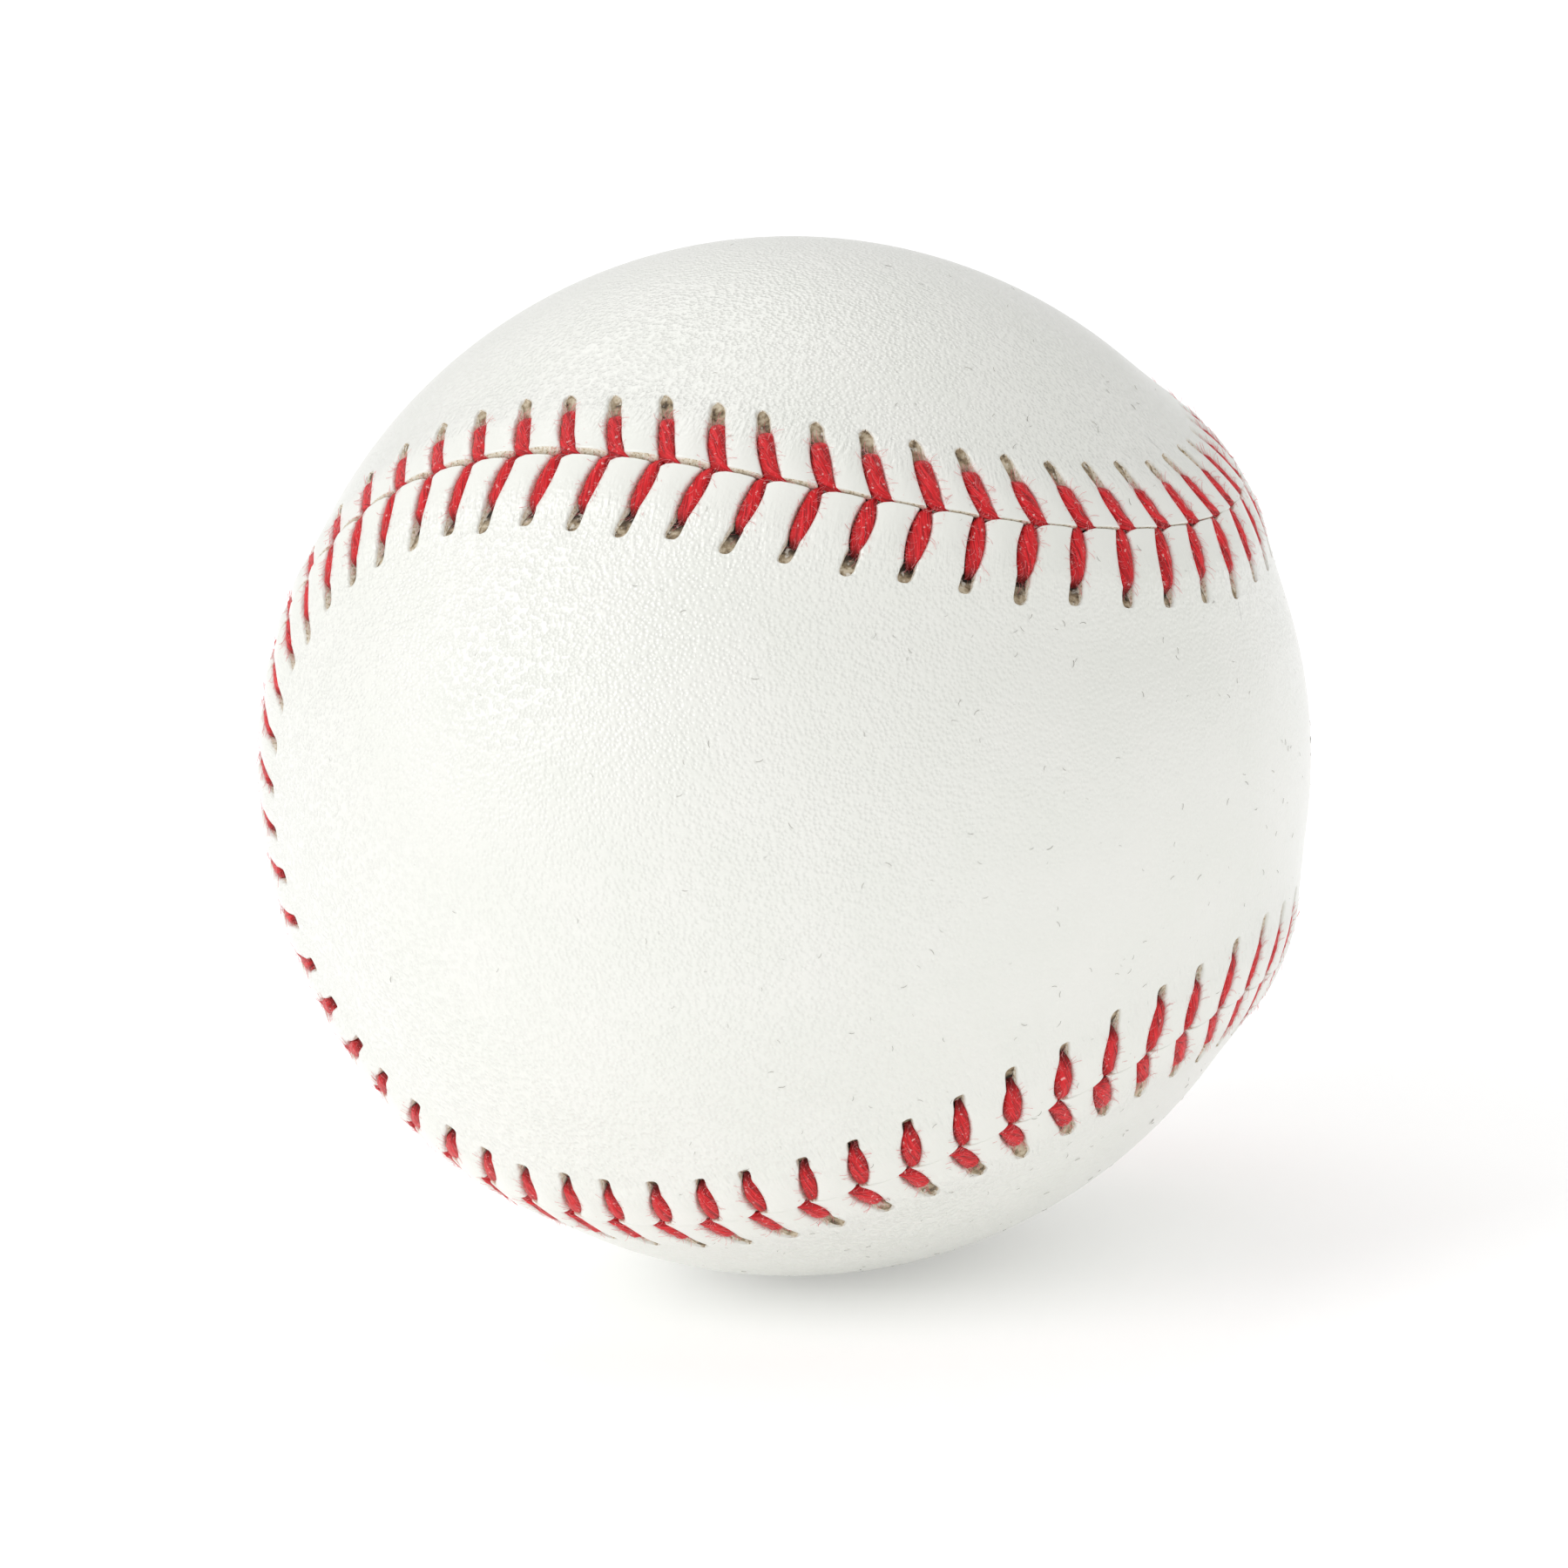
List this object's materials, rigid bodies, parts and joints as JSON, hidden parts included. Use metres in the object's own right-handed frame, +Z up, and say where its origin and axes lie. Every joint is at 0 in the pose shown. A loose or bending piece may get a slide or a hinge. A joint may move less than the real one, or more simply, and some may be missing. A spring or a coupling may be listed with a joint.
{
  "type": "baseball",
  "caption": "Round leather ball of two interlocking panels sewn with raised red stitches over wound yarn, rubber and cork, for throwing and batting.",
  "frame": {"origin": "centre of the ball", "axes": "+Z up through the top lobe of the top and bottom panel, +X through the waist of the front and back panel, -Y through the front lobe of the front and back panel"},
  "size_m": [0.0732, 0.0732, 0.0732],
  "materials": {
    "cork": "matte",
    "inner_rubber": "matte",
    "outer_rubber": "matte",
    "grey_wool": "matte",
    "white_wool": "matte",
    "finish_yarn": "matte",
    "cement": "satin",
    "leather": "satin",
    "red_thread": "satin"
  },
  "bodies": {
    "root": {"cork_core": "cork", "inner_rubber_lower": "inner_rubber", "inner_rubber_upper": "inner_rubber", "inner_seal_ring": "outer_rubber", "outer_rubber_left": "outer_rubber", "outer_rubber_right": "outer_rubber", "outer_seal_ring": "inner_rubber", "first_winding": "grey_wool", "second_winding": "white_wool", "third_winding": "grey_wool", "finish_winding": "finish_yarn", "cement_coat": "cement", "cover_front_back": "leather", "cover_top_bottom": "leather", "thread_first": "red_thread", "thread_second": "red_thread"}
  },
  "joints": []
}
